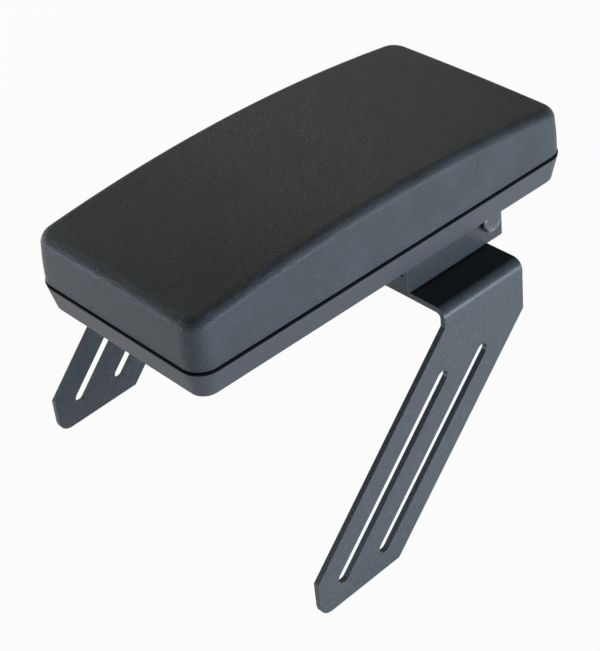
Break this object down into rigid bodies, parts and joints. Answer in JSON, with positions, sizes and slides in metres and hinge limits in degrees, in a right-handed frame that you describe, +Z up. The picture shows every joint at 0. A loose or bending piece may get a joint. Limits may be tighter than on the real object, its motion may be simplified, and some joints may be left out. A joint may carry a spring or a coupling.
{
  "type": "flip-up armrest",
  "caption": "Padded armrest that hinges up at its rear end on a folded steel bracket with slotted slanting legs.",
  "frame": {"origin": "midway between the legs, under the middle of the pad's length, at the height of the toes", "axes": "+Z up, +Y from the free front end of the pad towards its hinge, +X across the legs, to the side that the pad is nearer"},
  "size_m": [0.2532, 0.2792, 0.2415],
  "materials": {
    "powder_coat": "satin black powder coat",
    "zinc": "bright zinc plate",
    "black_steel": "black oxide steel",
    "nylon": "natural nylon",
    "rubber": "matt black rubber",
    "tray_plastic": "fine grained dark grey moulding",
    "board": "bare plywood",
    "cushion_skin": "soft black skin with a fine grain"
  },
  "bodies": {
    "bracket": {"leg_bracket": "powder_coat", "hinge_base": "powder_coat", "base_screw_1": "black_steel", "base_nut_1": "zinc", "base_screw_2": "black_steel", "base_nut_2": "zinc", "base_screw_3": "black_steel", "base_nut_3": "zinc", "base_screw_4": "black_steel", "base_nut_4": "zinc", "stop_buffer_left": "rubber", "pivot_bolt_left": "black_steel", "pivot_washer_outer_left": "black_steel", "pivot_washer_inner_left": "zinc", "pivot_spring_washer_left": "zinc", "pivot_nut_left": "zinc", "stop_buffer_right": "rubber", "pivot_bolt_right": "black_steel", "pivot_washer_outer_right": "black_steel", "pivot_washer_inner_right": "zinc", "pivot_spring_washer_right": "zinc", "pivot_nut_right": "zinc"},
    "armrest": {"hinge_leaf": "powder_coat", "pivot_bush_left": "nylon", "pivot_bush_right": "nylon", "leaf_screw_1": "black_steel", "tee_nut_1": "zinc", "leaf_screw_2": "black_steel", "tee_nut_2": "zinc", "leaf_screw_3": "black_steel", "tee_nut_3": "zinc", "leaf_screw_4": "black_steel", "tee_nut_4": "zinc", "base_tray": "tray_plastic", "insert_board": "board", "tray_screw_1": "zinc", "tray_screw_2": "zinc", "tray_screw_3": "zinc", "tray_screw_4": "zinc", "tray_screw_5": "zinc", "tray_screw_6": "zinc", "joint_bead": "rubber", "cushion": "cushion_skin"}
  },
  "joints": [
    {"name": "flip_up", "type": "hinge", "parent": "bracket", "child": "armrest", "pos_m": [0.0495, 0.0898, 0.1728], "axis": [-1, 0, 0], "range_deg": [0, 90]}
  ]
}
